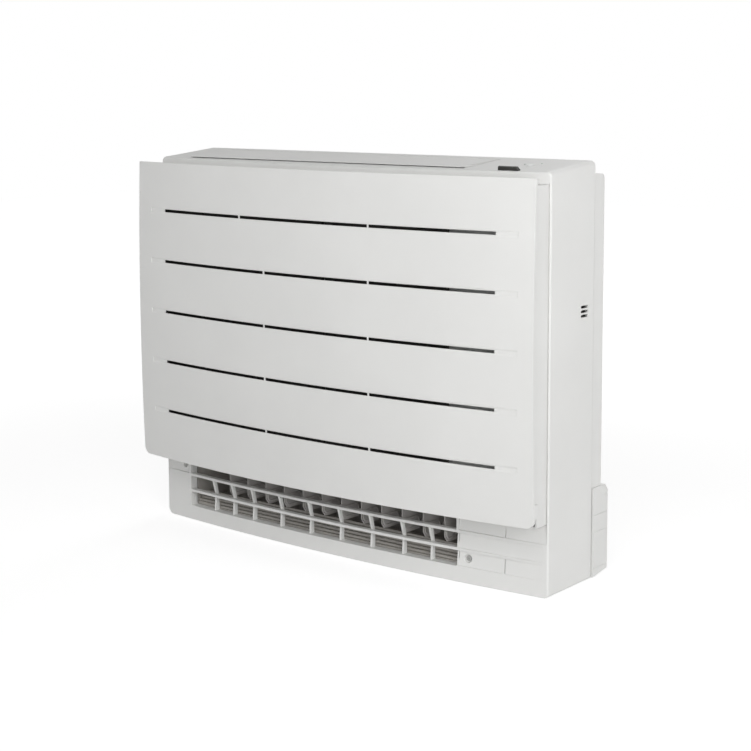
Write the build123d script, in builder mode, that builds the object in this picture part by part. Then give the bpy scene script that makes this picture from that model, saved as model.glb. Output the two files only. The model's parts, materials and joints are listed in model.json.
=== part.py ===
"""Floor standing air conditioner, indoor unit, with all its pieces at real size.

Millimetres. +X is the right-hand side seen from the room, +Y points at the wall,
+Z is up. The origin is on the floor, under the centre of the unit's box.
"""
import os
from math import asin, degrees, sqrt

from build123d import *

# ---------------------------------------------------------------- driving sizes
WIDTH = 750                         # over the front panel
HEIGHT = 600
DEPTH = 238                         # from the wall to the panel's crown
SKIN = 2.5                          # moulded wall
GAP = 0.5                           # play between neighbouring mouldings
PLAY = 0.08                         # radial play of a pin that turns in a hole

WALL_Y = DEPTH / 2
FRONT_Y = -DEPTH / 2

# front casing
CASING_HALF = 370
CASING_FRONT = -40                  # front edge at the side walls
CASING_BOW = 19.5                   # the front bows out by this much at mid width
CASING_REAR = 78
TOP_FRONT_Z = 589                   # the top slopes up from here to HEIGHT at the rear
CASING_RADIUS = (CASING_HALF**2 + CASING_BOW**2) / (2 * CASING_BOW)

# collar that stands out of the casing round the air intake
COLLAR_HALF = 366
COLLAR_LOW = 104
COLLAR_HIGH = 572
COLLAR_FRONT = -80
TOE_FRONT = -64                     # the foot of the collar stands back by this much,
TOE_Z = (117, 123)                  # so that the panel's edge swings in under it

# front panel
PANEL_HALF = WIDTH / 2
PANEL_LOW = 109
PANEL_HIGH = 583
PANEL_BOW = 29                      # bow in plan
PANEL_BULGE = 5                     # bow in height
PANEL_RIM = 7                       # depth of the panel's edge
PANEL_MID = (PANEL_LOW + PANEL_HIGH) / 2
PANEL_RADIUS = (PANEL_HALF**2 + PANEL_BOW**2) / (2 * PANEL_BOW)
PIVOT_Y = -75.5                     # the panel's bottom hinge
PIVOT_Z = 131
PIVOT_R = 2.5
EAR_Z = (123, 142)                  # the ears at the panel's sides that carry the hinge pins
SLIT_COUNT = 5
SLIT_PITCH = 80
SLIT_TOP = 508
SLIT_LEFT = -309
SLIT_RIGHT = 318
SLIT_HEIGHT = 4.6
GROOVE_LEFT = -343
GROOVE_RIGHT = 352
GROOVE_HALF = 4.6                   # half height of the groove at the panel's face
GROOVE_DEPTH = 0.9
TOP_BRIDGES = (-135, 113)           # webs that cross the top slit
BRIDGES = (-83, 114)                # and each of the slits below it
BRIDGE_WIDTH = 2.2

# lower outlet
OUTLET_LEFT = -311
OUTLET_RIGHT = 224
OUTLET_LOW = 23
OUTLET_HIGH = 93
BAR_Z = (72, 46)                    # underside of the two long bars
BAR_HEIGHT = 4
BAR_DEPTH = 9
RETURN_DEPTH = 14                   # the casing's edge turns this far in round the outlet
RIB_X = (-259, -216, -171, -111, -50, 10, 69, 127, 177)
RIB_WIDTH = 3.4

# upper outlet and its flap
FLAP_LEFT = -307
FLAP_RIGHT = 223
FLAP_FRONT = -35
FLAP_REAR = 56
FLAP_THICK = 4
FLAP_HINGE_Y = 52
FLAP_HINGE_Z = 590.5
FLAP_PIN_R = 2.2
OPENING_GAP = 1.5

# fan chamber, behind the heat exchanger
CHAMBER_LEFT = -316
CHAMBER_RIGHT = 230
CHAMBER_LOW = 132.5
CHAMBER_HIGH = 547
SHELL_HALF = 367
SHELL_BACK = 104
SHELL_TOP = 580
FAN_X = -43
FAN_Z = 345
FAN_R = 150
THROAT_R = 118
SHAFT_R = 4

# heat exchanger
EXCHANGER_LEFT = -300
EXCHANGER_RIGHT = 215
EXCHANGER_FRONT = -38
EXCHANGER_BACK = -12
EXCHANGER_LOW = 130
EXCHANGER_HIGH = 542
TUBE_R = 3.5
TUBE_ROWS_Y = (-31.5, -18.5)
TUBE_COUNT = 12
TUBE_PITCH = 34
TUBE_LOW = 150

# turning vanes
LOWER_VANES = 12
LOWER_VANE_PITCH = 38.6
LOWER_VANE_FIRST = -233
LOWER_VANE_Y = -4
UPPER_VANES = 6
UPPER_VANE_PITCH = 84
UPPER_VANE_FIRST = -252
UPPER_VANE_Z = 569
VANE_THICK = 1.6
VANE_PIN_R = 2

os.makedirs("parts", exist_ok=True)


def keep(piece, name):
    """Name a finished piece and write it."""
    piece.label = name
    export_step(piece, f"parts/{name}.step")


def casing_front(x):
    """Y of the casing's bowed front at a given X."""
    return CASING_FRONT - (sqrt(CASING_RADIUS**2 - x**2) - (CASING_RADIUS - CASING_BOW))


def top_z(y):
    """Z of the casing's sloping top at a given Y."""
    slope = (HEIGHT - TOP_FRONT_Z) / (CASING_REAR - CASING_FRONT)
    return TOP_FRONT_Z + slope * (y - CASING_FRONT)


def casing_plan(inset, side_inset=None, rear=CASING_REAR, mode=Mode.ADD):
    """Plan outline of the casing, moved inwards, drawn into the sketch in hand."""
    half = CASING_HALF - (inset if side_inset is None else side_inset)
    front = CASING_FRONT + inset
    with BuildLine() as outline:
        ThreePointArc((-half, front), (0, front - CASING_BOW), (half, front))
        Polyline((half, front), (half, rear), (-half, rear), (-half, front))
    make_face(outline.edges(), mode=mode)


def bowed_strip(x0, x1, near, far):
    """Plan of a strip that follows the casing's bowed front, between two depths behind it."""
    casing_plan(near, side_inset=0)
    casing_plan(far, side_inset=0, rear=CASING_REAR + 1, mode=Mode.SUBTRACT)
    with Locations(((x0 + x1) / 2, 0)):
        Rectangle(x1 - x0, 2 * DEPTH, mode=Mode.INTERSECT)


def block(x0, x1, y0, y1, z0, z1, mode=Mode.ADD):
    """A box between two corners, in the part in hand."""
    with Locations(((x0 + x1) / 2, (y0 + y1) / 2, (z0 + z1) / 2)):
        Box(x1 - x0, y1 - y0, z1 - z0, mode=mode)


def rod(start, direction, radius, length, mode=Mode.ADD):
    """A cylinder from a start point along a direction, in the part in hand."""
    with BuildSketch(Plane(origin=start, z_dir=direction)) as disc:
        Circle(radius)
    extrude(disc.sketch, amount=length, mode=mode)


def side_profile(points, x0, x1, mode=Mode.ADD):
    """A (y, z) outline carried along X from x0 to x1, in the part in hand."""
    with BuildSketch(Plane.YZ.offset(x0)) as outline:
        Polygon(*points, align=None)
    extrude(outline.sketch, amount=x1 - x0, mode=mode)


# ---------------------------------------------------------------- front casing
TOP_PLANE = Plane(
    origin=(0, CASING_FRONT, TOP_FRONT_Z),
    x_dir=(1, 0, 0),
    z_dir=(0, -(HEIGHT - TOP_FRONT_Z), CASING_REAR - CASING_FRONT),
)
INSIDE = CASING_HALF - SKIN         # half width between the side walls
TOP_EDGE_R = 8
REAR_EDGE_R = 6
CORNER_R = 3                        # upright front corners
BOTTOM_EDGE_R = (14, 6)             # left and right


def side_top_edges(part):
    """The two sloping edges where a block's sides meet its top."""
    sloping = part.edges().filter_by(lambda edge: 0 < abs(edge.tangent_at(0).Z) < 0.5)
    return sloping.filter_by(GeomType.LINE)


def front_outline():
    """Front view of the casing, with its rounded bottom corners and an open top."""
    with BuildSketch(Plane.XZ) as outline:
        with Locations((0, HEIGHT)):
            Rectangle(2 * CASING_HALF, 2 * HEIGHT)
        for end, radius in zip((0, -1), BOTTOM_EDGE_R):
            bottom = outline.vertices().group_by(Axis.Y)[0].sort_by(Axis.X)
            fillet(bottom[end], radius)
    return outline.sketch


with BuildPart() as casing_core:
    with BuildSketch(Plane.XY.offset(-1)):
        casing_plan(SKIN, rear=CASING_REAR - SKIN)
    extrude(amount=HEIGHT + 2)
    split(bisect_by=TOP_PLANE.offset(-SKIN), keep=Keep.BOTTOM)
    fillet(side_top_edges(casing_core), TOP_EDGE_R - SKIN)

MOAT_DEPTH = 1.5                    # beside the collar, behind the panel's edge
RECESS_DEPTH = 6                    # under the panel, beside the outlet
OUTLET_FRAME = 3.5                  # plain frame beside the outlet
RECESS_RIM = 2.4                    # width left at the casing's corners
BACKING = 9                         # thickness of the front beside the outlet and the collar
TERRACE_END = 362
TERRACE_FADE = 0.1                  # what is left of a band's depth at its far end
TERRACES = (                        # top, bottom, and depth at the top and at the bottom
    (BAR_Z[0], BAR_Z[1] + BAR_HEIGHT, 4, 1.5),
    (BAR_Z[1], OUTLET_LOW + 1, 3.5, 1.5),
)
LEDGE = 3                           # top of the upper bar, carried on beside the outlet
LEDGE_FADE = 0.5                    # what is left of the ledge at the casing's corners
SEAM_X = 302
SEAM_SIZE = 1.2
SEAMS = ((OUTLET_LOW + 1, BAR_Z[1]), (BAR_Z[0] + BAR_HEIGHT, COLLAR_LOW))
SCREWS = (                          # x, z and depth of the two front screws' recesses
    (242, 36, 6),
    (-328, 89, 9),
)
SCREW_WELL_R = 6.2
SCREW_HEAD_R = 4.2
SCREW_SHANK_R = 2
BUTTON = (305, 8)
BUTTON_R = 6
LAMPS = ((291, 16), (312, 27))
LAMP_R = 1.5
VENT_Y = 49
VENT_Z = (384.2, 390.6, 397)
VENT_LENGTH = 19
VENT_HEIGHT = 3.8
EAR_THICK = 3                       # hinge ears of the flap
EAR_GAP = 3.5                       # from the flap's end to its ear
STOPPER_BRACKET_X = (288, 314)
STOPPER_BRACKET_REACH = 11

with BuildPart() as front_casing:
    with BuildSketch():
        casing_plan(0)
    extrude(amount=HEIGHT)
    split(bisect_by=TOP_PLANE, keep=Keep.BOTTOM)
    fillet(side_top_edges(front_casing), TOP_EDGE_R)
    along_x = front_casing.edges().filter_by(Axis.X)
    fillet(along_x.group_by(Axis.Z)[-1], REAR_EDGE_R)
    upright = front_casing.edges().filter_by(Axis.Z)
    fillet(upright.group_by(Axis.Y)[0], CORNER_R)
    extrude(front_outline(), amount=DEPTH, both=True, mode=Mode.INTERSECT)
    add(casing_core.part, mode=Mode.SUBTRACT)
    block(-INSIDE, INSIDE, CASING_REAR - 10, CASING_REAR + 1, -1, SHELL_TOP + GAP, Mode.SUBTRACT)

    # collar round the intake, and the intake itself
    side_profile([(CASING_FRONT + 1, COLLAR_HIGH), (COLLAR_FRONT, COLLAR_HIGH),
                  (COLLAR_FRONT, TOE_Z[1]), (TOE_FRONT, TOE_Z[0]), (TOE_FRONT, COLLAR_LOW),
                  (CASING_FRONT + 1, COLLAR_LOW)], -COLLAR_HALF, COLLAR_HALF)
    mouth = COLLAR_HALF - SKIN
    block(-mouth, mouth, COLLAR_FRONT - 1, CASING_FRONT + BACKING,
          COLLAR_LOW + SKIN, COLLAR_HIGH - SKIN, Mode.SUBTRACT)
    for side in (-1, 1):
        # thicker front beside the collar and beside the outlet, for the recess
        outlet_end = max(side * OUTLET_LEFT, side * OUTLET_RIGHT) + OUTLET_FRAME
        for near, low, high in ((mouth, COLLAR_LOW, COLLAR_HIGH + SKIN),
                                (outlet_end, OUTLET_LOW - 5, COLLAR_LOW + SKIN)):
            with BuildSketch(Plane.XY.offset(low)):
                bowed_strip(*sorted((side * near, side * INSIDE)), 1, BACKING)
            extrude(amount=high - low)
        corner = side * (CASING_HALF - RECESS_RIM)
        block(*sorted((side * COLLAR_HALF, corner)), COLLAR_FRONT, CASING_FRONT + MOAT_DEPTH,
              COLLAR_LOW, COLLAR_HIGH + 1, Mode.SUBTRACT)
        # below the panel the recess slopes out to the front again
        for x, ledge in ((side * (outlet_end + 0.5), LEDGE), (corner, LEDGE_FADE)):
            y = casing_front(x)
            low = BAR_Z[0] + BAR_HEIGHT
            with BuildSketch(Plane.YZ.offset(x)):
                Polygon((y - 2, COLLAR_LOW), (y + RECESS_DEPTH, COLLAR_LOW), (y + ledge, low),
                        (y - 2, low), align=None)
        loft(ruled=True, mode=Mode.SUBTRACT)
        # hole for the panel's hinge pin, and a bracket that carries the panel stopper
        rod((side * (mouth - 1), PIVOT_Y, PIVOT_Z), (side, 0, 0), PIVOT_R + PLAY, SKIN + 2,
            Mode.SUBTRACT)
        bracket = sorted(side * x for x in STOPPER_BRACKET_X)
        block(*bracket, COLLAR_FRONT - STOPPER_BRACKET_REACH, COLLAR_FRONT,
              COLLAR_HIGH - SKIN, COLLAR_HIGH)

    # lower outlet: opening with its edges turned in, two long bars and nine ribs
    with BuildSketch(Plane.XY.offset(OUTLET_LOW - SKIN)):
        bowed_strip(OUTLET_LEFT - SKIN, OUTLET_RIGHT + SKIN, 1, RETURN_DEPTH)
    extrude(amount=OUTLET_HIGH - OUTLET_LOW + 2 * SKIN)
    block(OUTLET_LEFT, OUTLET_RIGHT, FRONT_Y, 0, OUTLET_LOW, OUTLET_HIGH, Mode.SUBTRACT)
    for bar_z in BAR_Z:
        with BuildSketch(Plane.XY.offset(bar_z)):
            bowed_strip(OUTLET_LEFT - 0.1, OUTLET_RIGHT + 0.1, 0, BAR_DEPTH)
        extrude(amount=BAR_HEIGHT)
    for rib_x in RIB_X:
        front = casing_front(rib_x)
        rib = [
            (front + 1, BAR_Z[0] + 1),
            (front + 8, BAR_Z[1] + BAR_HEIGHT),
            (front + 6, OUTLET_LOW),
            (front + SKIN / 2, OUTLET_LOW - 1),
            (front + 14, OUTLET_LOW - 1),
            (front + 14, BAR_Z[1]),
            (front + BAR_DEPTH - 1, BAR_Z[0] + 1),
        ]
        side_profile(rib, rib_x - RIB_WIDTH / 2, rib_x + RIB_WIDTH / 2)

    # terraces that run on from the bars and fade out towards the corner
    for band_top, band_low, deep, shallow in TERRACES:
        for x, share in ((OUTLET_RIGHT, 1), (TERRACE_END, TERRACE_FADE)):
            y = casing_front(x)
            with BuildSketch(Plane.YZ.offset(x)):
                Polygon((y - 1, band_top), (y + share * deep, band_top),
                        (y + share * shallow, band_low), (y - 1, band_low), align=None)
        loft(ruled=True, mode=Mode.SUBTRACT)
    seam_y = casing_front(SEAM_X)
    for low, high in SEAMS:
        block(SEAM_X - SEAM_SIZE / 2, SEAM_X + SEAM_SIZE / 2, seam_y - 1, seam_y + 4 * SEAM_SIZE,
              low, high, Mode.SUBTRACT)

    # front screws, each with its head at the bottom of a recess
    for x, z, depth in SCREWS:
        y = casing_front(x)
        rod((x, y + depth - 1, z), (0, 1, 0), SCREW_WELL_R + 2, 4)
        rod((x, y - 1, z), (0, 1, 0), SCREW_SHANK_R, BACKING + 6, Mode.SUBTRACT)
        rod((x, y - 1, z), (0, 1, 0), SCREW_WELL_R, 1 + depth, Mode.SUBTRACT)

    # upper outlet, hinge ears, button and lamps in the top
    block(FLAP_LEFT - 2, FLAP_RIGHT + 2, FLAP_FRONT - OPENING_GAP, FLAP_REAR + 2 * OPENING_GAP,
          COLLAR_HIGH + 2, HEIGHT + 1, Mode.SUBTRACT)
    for ear_x in (FLAP_LEFT - EAR_GAP - EAR_THICK, FLAP_RIGHT + EAR_GAP):
        block(ear_x, ear_x + EAR_THICK, FLAP_HINGE_Y - 6, FLAP_HINGE_Y + 6,
              FLAP_HINGE_Z - 5, top_z(FLAP_HINGE_Y - 6) - 1)
        rod((ear_x - 1, FLAP_HINGE_Y, FLAP_HINGE_Z), (1, 0, 0), FLAP_PIN_R + PLAY,
            EAR_THICK + 2, Mode.SUBTRACT)
    rod((*BUTTON, COLLAR_HIGH + 2), (0, 0, 1), BUTTON_R + 0.3, 40, Mode.SUBTRACT)
    for lamp in LAMPS:
        rod((*lamp, COLLAR_HIGH + 2), (0, 0, 1), LAMP_R, 40, Mode.SUBTRACT)

    # three short slots in front of the room thermistor
    with BuildSketch(Plane.YZ.offset(CASING_HALF - 5)):
        for slot_z in VENT_Z:
            with Locations((VENT_Y, slot_z)):
                SlotOverall(VENT_LENGTH, VENT_HEIGHT)
    extrude(amount=10, mode=Mode.SUBTRACT)
keep(front_casing.part, "front_casing")

# ---------------------------------------------------------------- front panel
AXIS_Y = FRONT_Y + PANEL_RADIUS     # the panel's plan arc turns about this upright line
PANEL_AXIS = Axis((0, AXIS_Y, 0), (0, 0, 1))
CORNER_LOW_R = 12
CORNER_HIGH_R = 6
PANEL_EDGE_R = 2.4
CATCH_X = (318, 321)                # the loops that the panel stoppers slide into
CATCH_Z = (556, 568)
CATCH_HOLE_Z = (560, 567)
STOPPER_X = (294, 310)
NOSE_X = (309, 315.5)
NOSE_Z = (561.5, 565.5)
THUMB_Z = (562, 564)


def panel_bulge(z):
    """How far the panel's face stands behind its crown at a given height."""
    return PANEL_BULGE * ((z - PANEL_MID) / (PANEL_HIGH - PANEL_MID)) ** 2


def panel_plane(x):
    """Upright plane through the panel's arc axis and the face at X; local axes radius and Z."""
    across = x / PANEL_RADIUS
    along = sqrt(1 - across**2)
    return Plane(origin=(0, AXIS_Y, 0), x_dir=(across, -along, 0), z_dir=(-along, -across, 0))


def panel_angle(x0, x1):
    """Angle of the panel's arc between two X positions."""
    return degrees(asin(x1 / PANEL_RADIUS) - asin(x0 / PANEL_RADIUS))


def panel_layer(near, far, inset):
    """The part of the bowed panel between two depths behind its face, with rounded corners."""
    reach = PANEL_HALF + 5
    with BuildPart() as layer:
        with BuildSketch(panel_plane(-reach)) as profile:
            with BuildLine() as outline:
                for depth in (near, far):
                    edge = PANEL_RADIUS - PANEL_BULGE - depth
                    ThreePointArc((edge, PANEL_LOW), (edge + PANEL_BULGE, PANEL_MID),
                                  (edge, PANEL_HIGH))
                for z in (PANEL_LOW, PANEL_HIGH):
                    Line((PANEL_RADIUS - PANEL_BULGE - near, z),
                         (PANEL_RADIUS - PANEL_BULGE - far, z))
            make_face(outline.edges())
        revolve(profile.sketch, axis=PANEL_AXIS, revolution_arc=panel_angle(-reach, reach))
        with BuildSketch(Plane.XZ) as window:
            with Locations((0, PANEL_MID)):
                Rectangle(2 * (PANEL_HALF - inset), PANEL_HIGH - PANEL_LOW - 2 * inset)
            corners = window.vertices().group_by(Axis.Y)
            fillet(corners[0], CORNER_LOW_R - inset)
            fillet(corners[-1], CORNER_HIGH_R - inset)
        extrude(window.sketch, amount=DEPTH, mode=Mode.INTERSECT)
    return layer.part


with BuildPart() as front_panel:
    add(panel_layer(0, PANEL_RIM, 0))
    face = front_panel.faces().sort_by(SortBy.AREA)[-1]
    fillet(face.edges(), PANEL_EDGE_R)
    add(panel_layer(SKIN, PANEL_RIM + 5, SKIN), mode=Mode.SUBTRACT)

    # intake slits, each one chamfered and run out into a shallow groove at both ends
    for row in range(SLIT_COUNT):
        z = SLIT_TOP - row * SLIT_PITCH
        face = PANEL_RADIUS - panel_bulge(z)
        with BuildSketch(panel_plane(GROOVE_LEFT)) as groove:
            outer = 2 * GROOVE_HALF - SLIT_HEIGHT / 2
            Polygon((face + GROOVE_DEPTH, z - outer), (face - GROOVE_DEPTH, z - SLIT_HEIGHT / 2),
                    (face - GROOVE_DEPTH, z + SLIT_HEIGHT / 2), (face + GROOVE_DEPTH, z + outer),
                    align=None)
        revolve(groove.sketch, axis=PANEL_AXIS,
                revolution_arc=panel_angle(GROOVE_LEFT, GROOVE_RIGHT), mode=Mode.SUBTRACT)
        ends = [SLIT_LEFT]
        for bridge in TOP_BRIDGES if row == 0 else BRIDGES:
            ends += [bridge - BRIDGE_WIDTH / 2, bridge + BRIDGE_WIDTH / 2]
        ends.append(SLIT_RIGHT)
        for x0, x1 in zip(ends[0::2], ends[1::2]):
            block(x0, x1, FRONT_Y - 5, FRONT_Y + 35, z - SLIT_HEIGHT / 2, z + SLIT_HEIGHT / 2,
                  Mode.SUBTRACT)

    # ears with the hinge pins at the bottom, catch loops for the stoppers at the top
    for side in (-1, 1):
        ear = sorted((side * PANEL_HALF, side * (PANEL_HALF - SKIN)))
        side_profile(
            [(PIVOT_Y - 7, EAR_Z[0]), (PIVOT_Y - 7, EAR_Z[1]), (PIVOT_Y - 1, EAR_Z[1]),
             (PIVOT_Y + 4.5, PIVOT_Z + 4), (PIVOT_Y + 4.5, PIVOT_Z - 4), (PIVOT_Y - 1, EAR_Z[0])],
            *ear)
        rod((side * (PANEL_HALF - 1), PIVOT_Y, PIVOT_Z), (-side, 0, 0), PIVOT_R,
            PANEL_HALF - COLLAR_HALF + SKIN - 1.3)
        loop = sorted(side * x for x in CATCH_X)
        block(*loop, COLLAR_FRONT - 12.5, COLLAR_FRONT, *CATCH_Z)
        block(*loop, COLLAR_FRONT - 8, COLLAR_FRONT - 2, *CATCH_HOLE_Z, Mode.SUBTRACT)
keep(front_panel.part, "front_panel")

for side, name in ((-1, "left"), (1, "right")):
    with BuildPart() as panel_stopper:
        body = sorted(side * x for x in STOPPER_X)
        nose = sorted(side * x for x in NOSE_X)
        block(*body, COLLAR_FRONT - 9, COLLAR_FRONT - 1, CATCH_HOLE_Z[0], COLLAR_HIGH - SKIN - 0.3)
        block(*nose, COLLAR_FRONT - 7, COLLAR_FRONT - 3, *NOSE_Z)
        block(*body, COLLAR_FRONT - 10.5, COLLAR_FRONT - 9, *THUMB_Z)
    keep(panel_stopper.part, f"panel_stopper_{name}")

# ---------------------------------------------------------------- intake: grille and filters
GRILLE_Y = -70
GRILLE_THICK = 6
GRILLE_LOW = 120
GRILLE_CELL = (48, 36)
GRILLE_GRID = (12, 12)              # the cells end where the heat exchanger ends
GRILLE_BAR = 4
FILTER_Y = -76
FILTER_THICK = 5
FILTERS = (                         # x0, x1 and the number of cells across
    ("left", -334, -3, 8),
    ("right", 3, 224, 5),
)
FILTER_LOW = 126
FILTER_HIGH = 553
FILTER_CELL = (40, 41)
FILTER_BAR = 3
FILTER_ROWS = 10
NET_THICK = 0.8
GRIP_HALF = 25                      # half width of the ridge that a filter is lifted by
FELT = (60, 180, 392, 446)          # x0, x1, z0, z1 of the deodorising filter
FELT_THICK = 9
FELT_PITCH = 9
FELT_CELL_R = 4.2

with BuildPart() as intake_grille:
    edge = COLLAR_HALF - SKIN
    block(-edge, edge, GRILLE_Y, GRILLE_Y + GRILLE_THICK, GRILLE_LOW, COLLAR_HIGH - SKIN)
    with BuildSketch(Plane.XZ.offset(-GRILLE_Y - GRILLE_THICK - 1)) as cells:
        left = -COLLAR_HALF + 6
        with Locations((left + GRILLE_GRID[0] * GRILLE_CELL[0] / 2,
                        (GRILLE_LOW + COLLAR_HIGH - SKIN) / 2)):
            with GridLocations(*GRILLE_CELL, *GRILLE_GRID):
                Rectangle(GRILLE_CELL[0] - GRILLE_BAR, GRILLE_CELL[1] - GRILLE_BAR)
    extrude(cells.sketch, amount=GRILLE_THICK + 2, mode=Mode.SUBTRACT)
    for side in (-1, 1):
        # notch that clears the end of the panel's hinge pin
        notch = sorted((side * (edge - 4), side * (edge + 1)))
        block(*notch, GRILLE_Y - 1, 0, GRILLE_LOW - 1, PIVOT_Z + 8, Mode.SUBTRACT)
keep(intake_grille.part, "intake_grille")

for name, x0, x1, columns in FILTERS:
    with BuildPart() as air_filter:
        block(x0, x1, FILTER_Y, FILTER_Y + FILTER_THICK, FILTER_LOW, FILTER_HIGH)
        with BuildSketch(Plane.XZ.offset(-FILTER_Y + 1)) as cells:
            with Locations(((x0 + x1) / 2, (FILTER_LOW + FILTER_HIGH) / 2)):
                with GridLocations(*FILTER_CELL, columns, FILTER_ROWS):
                    Rectangle(FILTER_CELL[0] - FILTER_BAR, FILTER_CELL[1] - FILTER_BAR)
        extrude(cells.sketch, amount=-(FILTER_THICK + 1 - NET_THICK), mode=Mode.SUBTRACT)
        middle = (x0 + x1) / 2
        block(middle - GRIP_HALF, middle + GRIP_HALF, FILTER_Y - 3, FILTER_Y + 1,
              FILTER_HIGH - 6, FILTER_HIGH - 3)
    keep(air_filter.part, f"air_filter_{name}")

with BuildPart() as deodorising_filter:
    x0, x1, z0, z1 = FELT
    block(x0, x1, GRILLE_Y + GRILLE_THICK, GRILLE_Y + GRILLE_THICK + FELT_THICK, z0, z1)
    with BuildSketch(Plane.XZ.offset(-GRILLE_Y)) as cells:
        with Locations(((x0 + x1) / 2, (z0 + z1) / 2)):
            with GridLocations(FELT_PITCH, FELT_PITCH, 12, 5):
                RegularPolygon(FELT_CELL_R, 6)
    extrude(cells.sketch, amount=-40, mode=Mode.SUBTRACT)
keep(deodorising_filter.part, "deodorising_filter")

# ---------------------------------------------------------------- heat exchanger
END_PLATE = 2.5
END_PLATE_REAR = 6                  # the end plates reach back to the bell mouth
FIN_GROOVES = 56
FIN_GROOVE_PITCH = 9
FIN_GROOVE = (3, 3)                 # width and depth


def tube_z(row):
    """Height of one tube."""
    return TUBE_LOW + row * TUBE_PITCH


with BuildPart() as heat_exchanger_fins:
    block(EXCHANGER_LEFT, EXCHANGER_RIGHT, EXCHANGER_FRONT, EXCHANGER_BACK,
          EXCHANGER_LOW, EXCHANGER_HIGH)
    with Locations(((EXCHANGER_LEFT + EXCHANGER_RIGHT) / 2, EXCHANGER_FRONT,
                    (EXCHANGER_LOW + EXCHANGER_HIGH) / 2)):
        with GridLocations(FIN_GROOVE_PITCH, 1, FIN_GROOVES, 1):
            Box(FIN_GROOVE[0], 2 * FIN_GROOVE[1], EXCHANGER_HIGH, mode=Mode.SUBTRACT)
    for y in TUBE_ROWS_Y:
        for row in range(TUBE_COUNT):
            rod((EXCHANGER_LEFT - 1, y, tube_z(row)), (1, 0, 0), TUBE_R,
                EXCHANGER_RIGHT - EXCHANGER_LEFT + 2, Mode.SUBTRACT)
keep(heat_exchanger_fins.part, "heat_exchanger_fins")

with BuildPart() as exchanger_end_plates:
    for x in (EXCHANGER_LEFT - END_PLATE, EXCHANGER_RIGHT):
        block(x, x + END_PLATE, EXCHANGER_FRONT - 2, END_PLATE_REAR,
              EXCHANGER_LOW + 12, EXCHANGER_HIGH + 4)
        for y in TUBE_ROWS_Y:
            for row in range(TUBE_COUNT):
                rod((x - 1, y, tube_z(row)), (1, 0, 0), TUBE_R, END_PLATE + 2, Mode.SUBTRACT)
keep(exchanger_end_plates.part, "exchanger_end_plates")

BEND_R = TUBE_PITCH / 2
TUBE_LEFT = EXCHANGER_LEFT - END_PLATE
TUBE_RIGHT = EXCHANGER_RIGHT + END_PLATE
with BuildPart() as heat_exchanger_tubes:
    for y in TUBE_ROWS_Y:
        for row in range(TUBE_COUNT):
            rod((TUBE_LEFT, y, tube_z(row)), (1, 0, 0), TUBE_R, TUBE_RIGHT - TUBE_LEFT)
        # return bends: even gaps on the left, odd gaps on the right
        for row in range(TUBE_COUNT - 1):
            end, turn = (TUBE_LEFT, 180) if row % 2 == 0 else (TUBE_RIGHT, -180)
            with BuildSketch(Plane(origin=(end, y, tube_z(row)), z_dir=(1, 0, 0))) as section:
                Circle(TUBE_R)
            bend = Axis((end, y, tube_z(row) + BEND_R), (0, 1, 0))
            revolve(section.sketch, axis=bend, revolution_arc=turn)
    # cross-over bend between the two rows, at the top
    row_gap = TUBE_ROWS_Y[1] - TUBE_ROWS_Y[0]
    top_end = (TUBE_RIGHT, TUBE_ROWS_Y[0], tube_z(TUBE_COUNT - 1))
    with BuildSketch(Plane(origin=top_end, z_dir=(1, 0, 0))) as section:
        Circle(TUBE_R)
    cross = Axis((TUBE_RIGHT, TUBE_ROWS_Y[0] + row_gap / 2, top_end[2]), (0, 0, 1))
    revolve(section.sketch, axis=cross, revolution_arc=180)
keep(heat_exchanger_tubes.part, "heat_exchanger_tubes")

# ---------------------------------------------------------------- drain pan and hose
PAN_LEFT = -320
PAN_RIGHT = 240
PAN_FRONT = -41.5
PAN_REAR = 6
PAN_LOW = 122
PAN_HIGH = 138
PAN_WALL = 2
SPOUT = (PAN_LEFT, -20, 130)
HOSE_R = 9
HOSE_BORE_R = 7.5
HOSE_X = -345
HOSE_END = 30

with BuildPart() as drain_pan:
    block(PAN_LEFT, PAN_RIGHT, PAN_FRONT, PAN_REAR, PAN_LOW, PAN_HIGH)
    block(PAN_LEFT + PAN_WALL, PAN_RIGHT - PAN_WALL, PAN_FRONT + PAN_WALL, PAN_REAR - PAN_WALL,
          PAN_LOW + PAN_WALL, PAN_HIGH + 1, Mode.SUBTRACT)
    rod((PAN_LEFT + PAN_WALL, *SPOUT[1:]), (-1, 0, 0), HOSE_BORE_R, PAN_WALL + 14)
    rod((PAN_LEFT + PAN_WALL + 1, *SPOUT[1:]), (-1, 0, 0), HOSE_BORE_R - 1.5, PAN_WALL + 20,
        Mode.SUBTRACT)
keep(drain_pan.part, "drain_pan")

with BuildPart() as drain_hose:
    hose_start = (PAN_LEFT - 4, *SPOUT[1:])
    with BuildLine() as hose_path:
        FilletPolyline(hose_start, (HOSE_X, *SPOUT[1:]), (HOSE_X, SPOUT[1], HOSE_END), radius=14)
    with BuildSketch(Plane(origin=hose_start, z_dir=(-1, 0, 0))) as hose_section:
        Circle(HOSE_R)
        Circle(HOSE_BORE_R, mode=Mode.SUBTRACT)
    sweep(hose_section.sketch, path=hose_path.wires()[0])
keep(drain_hose.part, "drain_hose")

# ---------------------------------------------------------------- bell mouth and rear shell
PLATE_Y = END_PLATE_REAR
SPLIT_Y = 50                        # the bell mouth's flanges meet the rear shell's walls here


def fan_plane(y):
    """Plane square to the fan's axis."""
    return Plane(origin=(FAN_X, y, FAN_Z), x_dir=(1, 0, 0), z_dir=(0, 1, 0))


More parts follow.
